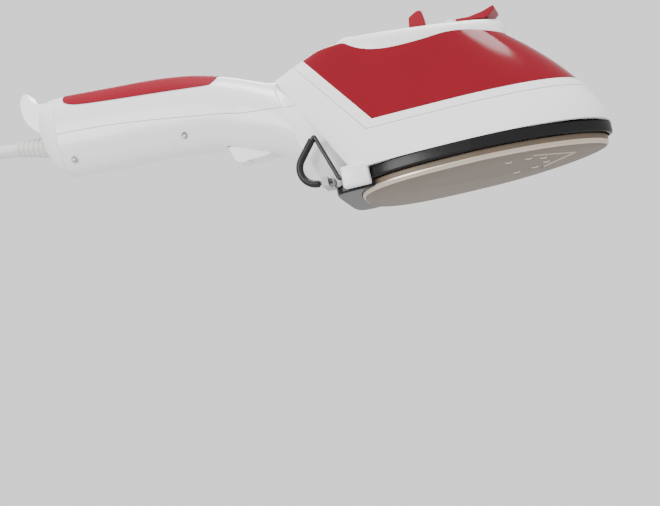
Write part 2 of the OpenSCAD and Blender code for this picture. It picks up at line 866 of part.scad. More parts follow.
module suction_tube() {
    color([0.9, 0.85, 0.8])
        swept([[pump_x + 6, 0, 66], [pump_x + 12, 0, 66], [pump_x + 16, 0, 64], [heel - 18, 0, suction_z + 4],
               [heel - 14, 0, suction_z + 1], [heel - 9, 0, suction_z], [heel + 24, 0, suction_z]], tube_r);
}

module delivery_tube() {
    z = pump_z + pump_h + 3;
    color([0.9, 0.85, 0.8])
        swept([[pump_x, 0, z], [pump_x + 0.6, 0.2, z + 1.2], [pump_x + 3.4, 1.5, z + 1.6], [pump_x + 9, 4.5, z - 0.8],
               [pump_x + 14, tube_y, z - 6], [heel - 6, tube_y, 34], [heel - 3, tube_y, 28.5],
               [heel + 2, tube_y, 25.5], [heel + 8, tube_y, 25], [heel + 20, tube_y, 25],
               [heel + 25, 5, 23.5], [heel + 27.5, 3, 20], [heel + 28, 2, cover_z + 2]], tube_r);
}

// ---------- lead entry ----------

lead_z = relief_seat[1] - 3;
clamp_x = handle_xr + 10;
module terminal_block() {
    color([0.9, 0.88, 0.8])
        translate([handle_xr + 57, -7, lead_z - 6])
            difference() {
                cube([16, 14, 9]);
                for (y = [3.5, 10.5])
                    translate([-1, y, 4.5])
                        rotate([0, 90, 0])
                            cylinder(h = 18, r = 1.4, $fn = 24);
            }
}

module cord_clamp() {
    color(grey)
        translate([clamp_x, -9, lead_z - 5.5])
            difference() {
                cube([9, 18, 11]);
                translate([-1, 9, 5.5])
                    rotate([0, 90, 0])
                        cylinder(h = 12, r = cord_d / 2 + 0.1, $fn = 32);
            }
}

module clamp_screws() {
    color(steel)
        for (s = [-1, 1])
            translate([clamp_x + 4.5, s * 6.6, lead_z + 5.5])
                cylinder(h = 1.6, r = 1.9, $fn = 24);
}

module handle_screws() {
    color(steel)
        for (p = handle_screw_at)
            cross_pin(p, 1.6, 5, -12.6, 24);
}

module internal_leads() {
    color([0.35, 0.2, 0.1])
        for (s = [-1, 1])
            bar([clamp_x + 8, s * 2, lead_z], [handle_xr + 57, s * 3.5, lead_z - 1.5], 1.1);
}

cap_r = relief_neck_r + 1.2;       // radius of the relief's shoulder
module strain_relief() {
    color(white)
        along_lead()
            union() {
                translate([0, 0, -12])
                    cylinder(h = 12, r = relief_neck_r, $fn = 48);
                cylinder(h = 2.4, r = cap_r, $fn = 48);
                translate([0, 0, 2.4])
                    cylinder(h = relief_l - 2.4, r1 = cap_r - 0.5, r2 = cord_d / 2 + 0.7, $fn = 48);
            }
}

// Route of the lead from the relief to the coil, then from the coil to the plug.
lead_out = [[-252, 0, 75.6], [-262, 0, 77], [-272, 1, 76.4], [-281, 3, 73.2], [-289, 6, 67.8],
            [-295.5, 9.6, 60.8], [-300.5, 13.6, 53], [-305.5, 18, 45.4], [-311.5, 22.6, 38.2], [-319, 27, 32],
            [-327, 30.1, 27.8], [-335, 31.5, 25.6], [-342, 31.8, 25.1]];
lead_in = [[-342, -51.8, 4.4], [-332, -51.8, 4.8], [-322, -51.8, 6.2], [-313, -51.8, 7.5]];
coil_at = [-342, -10];
coil_r = [28.5, 41.8];             // middle of the innermost and outermost turns
coil_low = 0.9;
coil_h = 27.7;                     // four layers of turns
plug_x = lead_in[3][0];
plug_z = 7.5;
plug_y = lead_in[3][1];

module power_cord() {
    color(white)
        union() {
            swept(lead_out, cord_d / 2);
            swept(lead_in, cord_d / 2);
        }
}

module cord_coil() {
    color(white)
        translate([coil_at[0], coil_at[1], coil_low])
            rotate_extrude($fn = 96)
                translate([coil_r[0] - cord_d / 2, 0])
                    square([coil_r[1] - coil_r[0] + cord_d, coil_h]);
}

tie_w = 14;
tie_t = 0.8;
module coil_tie() {
    rin = coil_r[0] - cord_d / 2 - 1.6;
    rout = coil_r[1] + cord_d / 2 + 0.2;
    color(black)
        translate([coil_at[0], coil_at[1] - tie_w / 2, 0])
            difference() {
                translate([-rout - tie_t, 0, 0])
                    cube([rout - rin + 2 * tie_t, tie_w, coil_h + coil_low + tie_t + 0.1]);
                translate([-rout, -1, coil_low])
                    cube([rout - rin, tie_w + 2, coil_h + 0.1]);
            }
}

module plug_body() {
    color(white)
        translate([plug_x, plug_y, 0])
            union() {
                linear_extrude(15)
                    polygon([[0, -5], [9, -5.6], [15, -12], [33, -12.8], [33, 12.8], [15, 12],
                             [9, 5.6], [0, 5]]);
            }
}

module plug_pins() {
    color(steel)
        for (s = [-1, 1])
            translate([plug_x + 33, plug_y + s * 7, plug_z])
                rotate([0, 90, 0])
                    union() {
                        cylinder(h = 17, r = 2, $fn = 32);
                        translate([0, 0, 17])
                            sphere(r = 2, $fn = 32);
                    }
}

soleplate();
steam_block();
heating_element();
chamber_seal();
chamber_cover();
thermostat();
thermal_fuse();
sole_screws();
heat_shield_skirt();
head_housing();
loop_lug();
wire_loop();
loop_sleeve();
tank_frame();
water_tank();
spine_cover();
release_button();
release_spring();
steam_knob();
valve_rod();
valve_seat();
inlet_neck();
inlet_lid();
lid_pin();
lid_seal();
handle_upper_shell();
handle_lower_shell();
grip_inlay();
end_cap();
trigger();
trigger_pin();
pump_body();
pump_piston();
pump_spring();
suction_tube();
delivery_tube();
terminal_block();
cord_clamp();
clamp_screws();
handle_screws();
internal_leads();
strain_relief();
power_cord();
cord_coil();
coil_tie();
plug_body();
plug_pins();
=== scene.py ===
"""Looks of the hand-held garment steamer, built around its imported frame."""
import json
import math

import bmesh
import bpy
from mathutils import Matrix, Vector


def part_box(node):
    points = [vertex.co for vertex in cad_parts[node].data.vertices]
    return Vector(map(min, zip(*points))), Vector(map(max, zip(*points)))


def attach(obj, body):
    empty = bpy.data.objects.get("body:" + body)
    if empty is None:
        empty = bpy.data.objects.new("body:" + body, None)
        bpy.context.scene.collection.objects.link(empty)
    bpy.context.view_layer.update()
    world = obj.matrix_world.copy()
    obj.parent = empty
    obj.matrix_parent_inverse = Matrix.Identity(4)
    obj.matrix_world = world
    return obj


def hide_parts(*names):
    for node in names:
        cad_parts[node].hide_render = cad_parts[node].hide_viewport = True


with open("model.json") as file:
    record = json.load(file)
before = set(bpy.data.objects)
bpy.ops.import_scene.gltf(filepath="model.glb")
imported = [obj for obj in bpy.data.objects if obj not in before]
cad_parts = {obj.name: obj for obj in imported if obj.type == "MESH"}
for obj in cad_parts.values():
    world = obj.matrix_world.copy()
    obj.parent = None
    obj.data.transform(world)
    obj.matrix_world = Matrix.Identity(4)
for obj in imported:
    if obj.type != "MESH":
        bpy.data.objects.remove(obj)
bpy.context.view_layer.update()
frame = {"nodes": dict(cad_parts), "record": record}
MM = 0.001                 # shapes are written in millimetres
RING = 144                 # points round a head shell
HOOP = 96                  # points round the handle
GAP = 0.14                 # half of the gap that shows at a seam


# ---------- outlines and solids ----------

def power(v, e):
    return math.copysign(abs(v) ** e, v)


def egg(xr, xf, xm, w, pr, pf, n=RING):
    """Egg-shaped outline: rear xr, nose xf, widest at xm, half width w, squareness pr behind and pf ahead."""
    out = []
    for k in range(n):
        a = 2 * math.pi * (k + 0.5) / n
        c, s = math.cos(a), math.sin(a)
        e, h = (pf, xf - xm) if c >= 0 else (pr, xm - xr)
        out.append((xm + h * power(c, 2 / e), w * power(s, 2 / e)))
    return out


def level(outline, z, slope=0):
    return [(x, y, z + slope * x) for x, y in outline]


def piece(name, verts, faces):
    me = bpy.data.meshes.new(name)
    me.from_pydata([Vector(v) * MM for v in verts], [], faces)
    obj = bpy.data.objects.new(name, me)
    bpy.context.scene.collection.objects.link(obj)
    bm = bmesh.new()
    bm.from_mesh(me)
    bmesh.ops.recalc_face_normals(bm, faces=bm.faces)
    bm.to_mesh(me)
    bm.free()
    return obj


def loft(name, rings):
    """Closed solid through rings of equal size, with flat ends."""
    n, m = len(rings[0]), len(rings)
    verts = [p for r in rings for p in r]
    faces = [(i * n + k, i * n + (k + 1) % n, (i + 1) * n + (k + 1) % n, (i + 1) * n + k)
             for i in range(m - 1) for k in range(n)]
    faces += [tuple(range(n))[::-1], tuple(range((m - 1) * n, m * n))]
    return piece(name, verts, faces)


def prism(name, outline, half, y=0):
    """Prism along Y from an X-Z outline."""
    return loft(name, [[(x, y + s * half, z) for x, z in outline] for s in (-1, 1)])


def block(name, lo, hi):
    x0, y0, z0 = lo
    x1, y1, z1 = hi
    return loft(name, [[(x0, y0, z), (x1, y0, z), (x1, y1, z), (x0, y1, z)] for z in (z0, z1)])


def turned(name, profile, place=Matrix(), n=64):
    """Solid of revolution from (radius, height) pairs, put in place by a matrix in millimetres."""
    rings = [[place @ Vector((r * math.cos(a), r * math.sin(a), h))
              for a in (2 * math.pi * k / n for k in range(n))] for r, h in profile]
    return loft(name, rings)


def baked(obj):
    """Applies an object's modifiers to its mesh."""
    graph = bpy.context.evaluated_depsgraph_get()
    me = bpy.data.meshes.new_from_object(obj.evaluated_get(graph))
    obj.modifiers.clear()
    obj.data = me
    return obj


def combine(obj, tool, operation):
    mod = obj.modifiers.new("combine", "BOOLEAN")
    mod.object, mod.operation, mod.solver = tool, operation, "EXACT"
    baked(obj)
    bpy.data.objects.remove(tool)
    return obj


def minus(obj, tool):
    return combine(obj, tool, "DIFFERENCE")


def keep(obj, tool):
    return combine(obj, tool, "INTERSECT")


def plus(obj, tool):
    return combine(obj, tool, "UNION")


def tube(name, points, r, n=20):
    """Round tube along points, with flat ends."""
    rings = []
    last = Vector((0.3, 1, 0.2)).normalized()
    for i, p in enumerate(points):
        a, b = Vector(points[max(i - 1, 0)]), Vector(points[min(i + 1, len(points) - 1)])
        t = (b - a).normalized()
        u = (last - last.dot(t) * t).normalized()
        last = u
        v = t.cross(u)
        radius = r[i] if isinstance(r, (list, tuple)) else r
        rings.append([Vector(p) + radius * (math.cos(q) * u + math.sin(q) * v)
                      for q in (2 * math.pi * k / n for k in range(n))])
    return loft(name, rings)


def smooth(rows, per):
    """Catmull-Rom rows between rows of numbers, per steps in each span."""
    out = []
    for i in range(len(rows) - 1):
        p0, p1, p2, p3 = rows[max(i - 1, 0)], rows[i], rows[i + 1], rows[min(i + 2, len(rows) - 1)]
        for k in range(per):
            t = k / per
            out.append([0.5 * (2 * b + (c - a) * t + (2 * a - 5 * b + 4 * c - d) * t * t
                               + (3 * b - a - 3 * c + d) * t ** 3) for a, b, c, d in zip(p0, p1, p2, p3)])
    return out + [list(rows[-1])]


# ---------- materials ----------

def look(name, colour, rough, second=None, metal=0.0, grain=(300, 0.03), mottle=30, coat=0.0,
         clear=0.0, ior=1.5, sheen=0.0, line=None, shine=0.5):
    """Principled material: two close colours mottled together, uneven roughness and a fine bump.
    grain is (scale, strength) of the bump, line is (axis, scale) of a brushed or woven line."""
    mat = bpy.data.materials.new(name)
    mat.use_nodes = True
    nt = mat.node_tree
    node, link = nt.nodes, nt.links
    shader = node["Principled BSDF"]
    place = node.new("ShaderNodeTexCoord")
    broad = node.new("ShaderNodeTexNoise")
    broad.inputs["Scale"].default_value = mottle
    broad.inputs["Detail"].default_value = 4
    fine = node.new("ShaderNodeTexNoise")
    fine.inputs["Scale"].default_value = grain[0]
    fine.inputs["Detail"].default_value = 3
    link.new(place.outputs["Object"], broad.inputs["Vector"])
    link.new(place.outputs["Object"], fine.inputs["Vector"])
    mix = node.new("ShaderNodeMix")
    mix.data_type = "RGBA"
    mix.inputs["A"].default_value = (*colour, 1)
    mix.inputs["B"].default_value = (*(second or [c * 0.93 for c in colour]), 1)
    link.new(broad.outputs["Fac"], mix.inputs["Factor"])
    link.new(mix.outputs["Result"], shader.inputs["Base Color"])
    spread = node.new("ShaderNodeMapRange")
    spread.inputs["To Min"].default_value = rough * 0.85
    spread.inputs["To Max"].default_value = rough * 1.2
    link.new(fine.outputs["Fac"], spread.inputs["Value"])
    link.new(spread.outputs["Result"], shader.inputs["Roughness"])
    height = fine.outputs["Fac"]
    if line:
        wave = node.new("ShaderNodeTexWave")
        wave.bands_direction = line[0]
        wave.inputs["Scale"].default_value = line[1]
        wave.inputs["Distortion"].default_value = 1.5
        link.new(place.outputs["Object"], wave.inputs["Vector"])
        add = node.new("ShaderNodeMath")
        add.operation = "ADD"
        link.new(wave.outputs["Fac"], add.inputs[0])
        link.new(height, add.inputs[1])
        height = add.outputs["Value"]
    bump = node.new("ShaderNodeBump")
    bump.inputs["Strength"].default_value = grain[1]
    bump.inputs["Distance"].default_value = 0.0004
    link.new(height, bump.inputs["Height"])
    link.new(bump.outputs["Normal"], shader.inputs["Normal"])
    shader.inputs["Metallic"].default_value = metal
    shader.inputs["Coat Weight"].default_value = coat
    shader.inputs["Coat Roughness"].default_value = 0.08
    shader.inputs["Transmission Weight"].default_value = clear
    shader.inputs["IOR"].default_value = ior
    shader.inputs["Sheen Weight"].default_value = sheen
    shader.inputs["Specular IOR Level"].default_value = shine
    return mat


WHITE = look("white_gloss", (0.88, 0.88, 0.88), 0.28, (0.85, 0.85, 0.855), coat=0.3, grain=(700, 0.04))
OFF_WHITE = look("white_satin", (0.78, 0.78, 0.77), 0.42, (0.72, 0.72, 0.71), grain=(500, 0.10))
BLACK = look("black_gloss", (0.004, 0.004, 0.005), 0.24, (0.008, 0.008, 0.009), grain=(400, 0.03), shine=0.22)
RED = look("red_satin", (0.27, 0.001, 0.014), 0.38, (0.22, 0.001, 0.011), grain=(900, 0.12), shine=0.25)
GRIP = look("red_grip", (0.25, 0.001, 0.014), 0.55, (0.20, 0.001, 0.011), grain=(1500, 0.35), shine=0.15)
TANK = look("clear_red", (0.30, 0.0005, 0.014), 0.10, (0.25, 0.0005, 0.012), clear=0.35, ior=1.38,
            grain=(60, 0.03), shine=0.3)
PLATE = look("plate_coat", (0.150, 0.113, 0.080), 0.42, (0.115, 0.085, 0.06), metal=0.2, grain=(1400, 0.14),
             mottle=120, shine=0.3)
# Lighter, more metallic copy of the plate colour: a painted highlight for the bright lower bevel of the
# plate's rim.
BEVEL = look("plate_bevel_highlight", (0.60, 0.52, 0.43), 0.25, (0.52, 0.44, 0.36), metal=0.7, grain=(900, 0.05))
CAST = look("cast_metal", (0.52, 0.52, 0.53), 0.48, (0.42, 0.42, 0.43), metal=0.9, grain=(500, 0.35))
WIRE = look("wire_steel", (0.045, 0.045, 0.05), 0.3, (0.03, 0.03, 0.034), metal=0.7, grain=(700, 0.08))
STEEL = look("plain_steel", (0.50, 0.51, 0.53), 0.26, (0.40, 0.41, 0.43), metal=1.0, grain=(600, 0.06),
             line=("Z", 900))
DARK_WIRE = look("sleeve_black", (0.008, 0.008, 0.009), 0.35, (0.014, 0.014, 0.014),
                 grain=(900, 0.12), shine=0.3)
# Grey plastic colour. On the side-loop lug it is painted shade: a white part drawn grey where it sits in
# shade.
GREY_AND_PAINTED_SHADE = look("grey_plastic", (0.42, 0.42, 0.43), 0.36, (0.36, 0.36, 0.37), grain=(600, 0.08))
RUBBER = look("seal_rubber", (0.025, 0.025, 0.027), 0.6, (0.04, 0.04, 0.04), grain=(800, 0.2))
SILICONE = look("silicone", (0.66, 0.60, 0.54), 0.5, (0.60, 0.54, 0.48), grain=(500, 0.1), clear=0.2)
CERAMIC = look("ceramic", (0.72, 0.69, 0.60), 0.6, (0.66, 0.62, 0.53), grain=(700, 0.2))
LEAD = look("lead_cover", (0.70, 0.69, 0.67), 0.4, (0.65, 0.64, 0.62), grain=(900, 0.12))
TIE = look("tie_strap", (0.02, 0.02, 0.022), 0.85, (0.035, 0.035, 0.037), grain=(1500, 0.5), sheen=0.5,
           line=("DIAGONAL", 700))
BRASS = look("pin_metal", (0.62, 0.58, 0.50), 0.2, (0.55, 0.51, 0.43), metal=1.0, grain=(800, 0.05))
WIRE_CORE = look("lead_wire", (0.20, 0.10, 0.05), 0.5, (0.15, 0.08, 0.04), grain=(700, 0.1))

CAD_LOOKS = {
    "cast_metal": CAST, "steel": STEEL, "silicone": SILICONE, "ceramic": CERAMIC,
    "white_plastic": WHITE, "grey_plastic": GREY_AND_PAINTED_SHADE, "black_rubber": RUBBER, "lead_wire": WIRE_CORE,
}


def dress(obj, material, body, replaces=(), bevel=0.0, turn=35, steps=2):
    """Material, rounded edges, smooth shading, and the piece's place in the frame."""
    if material is not None:
        obj.data.materials.clear()
        obj.data.materials.append(material)
    obj.data.shade_smooth()
    obj.data.set_sharp_from_angle(angle=math.radians(turn))
    if bevel:
        mod = obj.modifiers.new("round", "BEVEL")
        mod.width, mod.segments = bevel * MM, steps
        mod.limit_method, mod.angle_limit = "ANGLE", math.radians(turn)
        mod.harden_normals = False
        normal = obj.modifiers.new("normals", "WEIGHTED_NORMAL")
        normal.keep_sharp = False
    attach(obj, body)
    if replaces:
        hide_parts(*replaces)
    return obj


# ---------- sole plate and skirt ----------

plate_lo, plate_hi = [Vector(c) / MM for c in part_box("soleplate")]
EDGE = 1.2                                  # growth of the plate's bevelled edge
# The CAD outline is a polygon just inside its curve, so the whole millimetre is the curve's size.
SOLE_L = round(plate_hi.x - plate_lo.x - 2 * EDGE)
SOLE_W = round(plate_hi.y - plate_lo.y - 2 * EDGE)
SOLE_T = plate_hi.z
HEEL, NOSE = -SOLE_L / 2, SOLE_L / 2
SKIRT_OUT = 4.2
SKIRT_WALL = 2
DECK_T = 2.2                                # thickness of the skirt's deck
SHELL = 2.2                                 # wall of the head and handle shells
TANK_WALL = 1.8
SKIRT_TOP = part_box("heat_shield_skirt")[1][2] / MM


def sole_outline(grow):
    return egg(HEEL - grow, NOSE + grow, -0.011 * SOLE_L, SOLE_W / 2 + grow, 3, 1.7)


def make_soleplate():
    profile = [(-0.25, 0), (0.1, 0.06), (0.5, 0.35), (0.96, 1), (1.15, 1.7), (EDGE, 2.4),
               (EDGE, SOLE_T - 0.3),
               (EDGE - 0.3, SOLE_T)]
    plate = loft("sole_plate", [level(sole_outline(g), z) for g, z in profile])
    places = [(0.11, 0.2), (0.19, 0.17), (0.244, 0.08)]
    for fx, fy in places:
        for s in (-1, 1):
            at = Matrix.Translation((fx * SOLE_L, s * fy * SOLE_W, 0))
            minus(plate, turned("hole", [(2.2, -0.4), (1.4, 0.5), (1.4, SOLE_T + 1)], at, 32))
    for s in (-1, 1):
        a = math.radians(180 - s * 37)
        tip = Vector((0.37 * SOLE_L, 0, -0.2))
        end = tip + 25 * Vector((math.cos(a), math.sin(a), 0))
        minus(plate, tube("groove", [tip, end], 0.95, 16))
    for m in (PLATE, BEVEL, CAST):
        plate.data.materials.append(m)
    # Downward bevel faces below 2.3 mm take the painted highlight colour; the sole face and the side wall
    # keep the plate colour.
    for f in plate.data.polygons:
        z = f.center.z / MM
        f.material_index = 0 if f.normal.z < -0.9 else (1 if z < 2.3 and f.normal.z < -0.05 else 0)
    dress(plate, None, "body", ["soleplate"], turn=28)


def make_skirt():
    skirt = loft("skirt_band", [level(sole_outline(g), z) for g, z in
                                ((SKIRT_OUT - 1, SOLE_T), (SKIRT_OUT - 0.2, SOLE_T + 0.5),
                                 (SKIRT_OUT, SOLE_T + 1.3),
                                 (SKIRT_OUT, SKIRT_TOP - 0.8), (SKIRT_OUT - 0.3, SKIRT_TOP - 0.15),
                                 (SKIRT_OUT - 0.8, SKIRT_TOP))])
    inner = sole_outline(SKIRT_OUT - SKIRT_WALL)
    minus(skirt, loft("hollow", [level(inner, z) for z in (SOLE_T - 1, SKIRT_TOP - DECK_T)]))
    well = egg(HEEL + 14.5, NOSE - 18, 0, SOLE_W / 2 - 7, 3, 2.4)
    minus(skirt, loft("well", [level(well, z) for z in (0, 20)]))
    minus(skirt, block("rear", (HEEL - 40, -60, 0), (HEEL + 9.5, 60, 20)))
    dress(skirt, BLACK, "body", ["heat_shield_skirt"], bevel=0.5, steps=3)
    flange = loft("skirt_flange", [level(egg(HEEL - 12 + d, 20, HEEL + 3.5, SOLE_W / 2 - 5.8 - d, 6, 2), z)
                                   for d, z in ((0.9, 2), (0.2, 2.4), (0, 3), (0, 5.6), (0.3, 6.2),
                                                (0.9, 6.5))])
    minus(flange, loft("plate_room", [level(sole_outline(EDGE + 0.35), z) for z in (0, SOLE_T)]))
    minus(flange, block("front", (HEEL + 11.5, -60, 0), (60, 60, 12)))
    plus(flange, block("bridge", (HEEL + 4.5, -SOLE_W / 2 + 9.8, SOLE_T),
                       (HEEL + 11.8, SOLE_W / 2 - 9.8, SKIRT_TOP)))
    dress(flange, BLACK, "body", ["heat_shield_skirt"], bevel=0.25)


# ---------- head shells ----------

PEAK_Z, LEAN, HEAD_TOP = 75, 0.58, 86
SEAM_X, SEAM_Z, SEAM_LEAN = HEEL + 11.5, 31.5, 1.316
FRAME_H, TANK_SHIFT = 4.8, 7.2


def rise(z):
    return max(0.0, (z - SKIRT_TOP) / 62)


def plane_x(z):
    return HEEL + 0.5 - LEAN * (z - SKIRT_TOP)


def head_ring(z, inset=0.0):
    rear = max(plane_x(z) - 14, plane_x(PEAK_Z) + 0.3 + 2.25 * (z - PEAK_Z))
    front = NOSE + 4 - 47 * rise(z) ** 1.58
    side = SOLE_W / 2 + SKIRT_OUT - 0.8 - 21 * rise(z) ** 1.05
    return level(egg(rear + inset, front - inset, HEEL + 51.5, side - inset, 3.2 + 2 * rise(z), 2.3), z)


def head_solid(name, inset, z0, z1, dome=False):
    steps = max(2, round((z1 - z0) / 2.2))
    top = z1 - 1.8 if dome else z1
    rings = [head_ring(z0 + (top - z0) * k / steps, inset) for k in range(steps + 1)]
    if dome:
        rings += [head_ring(z1 - 1.8 * (1 - math.sin(a)), inset + 1.8 * (1 - math.cos(a)))
                  for a in (math.pi / 8, math.pi / 4, 3 * math.pi / 8, math.pi / 2)]
    return loft(name, rings)


def seam_region(up, shift):
    """Side view of all that lies above and ahead of the seam."""
    def line(z):
        return SEAM_X + shift - (z - SEAM_Z) / SEAM_LEAN
    low = SEAM_Z + up
    return prism("seam", [(line(low), low), (NOSE + 40, low), (NOSE + 40, 110), (line(110), 110)], 60)


def behind_joint():
    """Side view of all that lies behind the joint with the neck."""
    z0, z1, far = -5, PEAK_Z + 3, HEEL - 120
    return prism("joint", [(plane_x(z0), z0), (plane_x(z1), z1), (far, z1), (far, z0)], 60)


LOOP_Y, LOOP_Z = SOLE_W / 2 - 2.6, 9         # plane and hinge height of the side loop
WIRE_R, SLEEVE_R, PIN_HOLE = 1.1, 1.9, 1.15


def make_housing():
    shell = head_solid("housing", 0, SKIRT_TOP, HEAD_TOP - 2)
    minus(shell, head_solid("inside", SHELL, SKIRT_TOP - 1, HEAD_TOP - 4))
    minus(shell, seam_region(-GAP, -GAP))
    minus(shell, behind_joint())
    dress(shell, WHITE, "body", ["head_housing"], bevel=0.3, steps=3)
    for s in (-1, 1):
        y0, y1 = sorted((s * (LOOP_Y - 2.8), s * (LOOP_Y + 2.8)))
        name = "heel_boss_near" if s < 0 else "heel_boss_far"
        boss = block(name, (HEEL - 5.3, y0, 3), (HEEL + 9.2, y1, SKIRT_TOP + 2.6))
        mod = boss.modifiers.new("round", "BEVEL")
        mod.width, mod.segments = 1.2 * MM, 4
        baked(boss)
        if s < 0:
            at = Matrix.Translation((HEEL - 6, -LOOP_Y, LOOP_Z)) @ Matrix.Rotation(math.pi / 2, 4, "Y")
            minus(boss, turned("bore", [(1.2, 0), (1.2, 5)], at, 32))
        dress(boss, WHITE, "body")


SPINE_Z0, SPINE_SLOPE, SPINE_H = HEAD_TOP - 16.8, -0.12, 11.8


def spine_ring(up, inset, n=RING):
    return level(egg(HEEL - 2.5 + inset, HEEL + 88.5 - inset, HEEL + 38.5, 12.8 - inset, 2.6, 2.6, n),
                 SPINE_Z0 + up, SPINE_SLOPE)


def spine_top(x):
    return SPINE_Z0 + SPINE_SLOPE * x + SPINE_H


def spine_room(grow, low):
    return loft("spine_room", [spine_ring(low, -grow), spine_ring(60, -grow)])


def make_frame_and_tank():
    band = head_solid("frame_band", 0, SEAM_Z - 1, HEAD_TOP - 2)
    keep(band, seam_region(GAP, GAP))
    minus(band, seam_region(FRAME_H, TANK_SHIFT))
    minus(band, behind_joint())
    hollow = head_solid("hollow", 2.8, SEAM_Z - 2, SEAM_Z + FRAME_H - 1)
    minus(hollow, block("rear", (HEEL - 60, -60, 0), (SEAM_X + 10, 60, 60)))
    minus(band, hollow)
    dress(band, WHITE, "body", ["tank_frame"], bevel=0.35, steps=3)

    tank = head_solid("tank", 0, SEAM_Z + 2, HEAD_TOP, dome=True)
    keep(tank, seam_region(FRAME_H + GAP, TANK_SHIFT + GAP))
    inside = head_solid("inside", TANK_WALL, SEAM_Z, HEAD_TOP - TANK_WALL)
    keep(inside, seam_region(FRAME_H + TANK_WALL, TANK_SHIFT + TANK_WALL))
    minus(inside, spine_room(TANK_WALL + 0.15, -TANK_WALL))
    minus(tank, inside)
    minus(tank, spine_room(0.15, 0))
    for x, r in ((KNOB_X, 3.2), (NECK_X, 5.35)):
        minus(tank, turned("port", [(r, 40), (r, 100)] if x == NECK_X else [(r, 30), (r, 100)],
                           Matrix.Translation((x, 0, 0)), 48))
    dress(tank, TANK, "body", ["water_tank"], bevel=0.6, steps=3)


KNOB_X = -20
NECK_X = KNOB_X + 32
LID_X = KNOB_X + 17.6
LID_Z = spine_top(LID_X) + 1
BUTTON_X = HEEL + 5.5


def make_spine():
    crown = [(10 + 1.8 * math.sin(a), 1.1 + 2.6 * (1 - math.cos(a))) for a in
             (math.pi / 8, math.pi / 4, 3 * math.pi / 8, math.pi / 2)]
    rings = [spine_ring(0, 0), spine_ring(5, 0), spine_ring(7.5, 0.15), spine_ring(9, 0.5),
             spine_ring(10, 1.1)]
    spine = loft("spine", rings + [spine_ring(up, inset) for up, inset in crown])
    minus(spine, loft("hollow", [spine_ring(-1, 1.6), spine_ring(7, 1.6), spine_ring(SPINE_H - 1.6, 4.6)]))
    for s in (-1, 1):
        at = Matrix.Translation((LID_X, s * 3.4 - 1.1, LID_Z)) @ Matrix.Rotation(-math.pi / 2, 4, "X")
        plus(spine, turned("ear", [(1.9, 0), (1.9, 2.2)], at, 40))
    for x, r in ((KNOB_X, 7.35), (NECK_X, 5.35), (BUTTON_X, 4.95)):
        minus(spine, turned("port", [(r, 60), (r, 110)], Matrix.Translation((x, 0, 0)), 64))
    at = Matrix.Translation((LID_X, -2.2, LID_Z)) @ Matrix.Rotation(-math.pi / 2, 4, "X")
    minus(spine, turned("knuckle_room", [(2.1, 0), (2.1, 4.4)], at, 40))
    dress(spine, WHITE, "body", ["spine_cover"], bevel=0.3, steps=3)


# ---------- controls ----------

def make_knob():
    base = spine_top(KNOB_X) - 2.2
    at = Matrix.Translation((KNOB_X, 0, base))
    disc = turned("knob", [(4, -5), (4, 0), (6.6, 0), (7, 0.4), (7, 2.7), (6.8, 3.15), (6.3, 3.4)], at)
    tab = [(-4.7, 2), (4.7, 2), (4.4, 8), (3.8, 12.2), (3.2, 12.9), (1.9, 13.1), (0.6, 12.7), (-3, 10.9),
           (-3.6, 10.1)]
    fin = prism("fin", [(KNOB_X + x, base + z) for x, z in tab], 2)
    mod = fin.modifiers.new("round", "BEVEL")
    mod.width, mod.segments = 0.7 * MM, 3
    plus(disc, baked(fin))
    minus(disc, turned("socket", [(2.08, -6), (2.08, 3)], at, 40))
    dress(disc, RED, "steam_knob", ["steam_knob"], bevel=0.2)


def make_lid():
    tip = NECK_X + 10.4
    start = LID_X + 3.8

    def under(x):
        return spine_top(x) + 0.5
    low = under(tip - 6)
    outline = [(start, under(start)), (tip - 6, low), (tip - 3.4, low + 1.0), (tip, LID_Z + 0.9),
               (tip - 0.1, LID_Z + 2.3), (tip - 0.5, LID_Z + 3.0), (tip - 6.5, LID_Z + 1.1),
               (start + 7, LID_Z),
               (start, LID_Z + 0.6)]
    lid = prism("lid_plate", outline, 7)
    mod = lid.modifiers.new("round", "BEVEL")
    mod.width, mod.segments = 0.45 * MM, 3
    baked(lid)
    arm = prism("arm", [(LID_X - 1.3, LID_Z - 0.8), (start + 1, LID_Z - 0.6), (start + 1, LID_Z + 0.5),
                        (LID_X + 0.6, LID_Z + 1.4), (LID_X - 0.9, LID_Z + 1.1)], 1.7)
    plus(lid, arm)
    at = Matrix.Translation((LID_X, -10, LID_Z)) @ Matrix.Rotation(-math.pi / 2, 4, "X")
    minus(lid, turned("bore", [(0.85, 0), (0.85, 20)], at, 24))
    dress(lid, RED, "inlet_lid", ["inlet_lid"], bevel=0.15)


def make_button():
    low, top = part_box("release_button")[0][2] / MM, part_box("release_button")[1][2] / MM
    at = Matrix.Translation((BUTTON_X, 0, 0))
    button = turned("button", [(5.8, low), (5.8, low + 1.2), (4.6, low + 1.2), (4.6, top - 0.9),
                               (4.4, top - 0.45),
                               (4.0, top - 0.15), (3.4, top), (1.2, top - 0.25)], at)
    dress(button, WHITE, "release_button", ["release_button"], bevel=0.15)


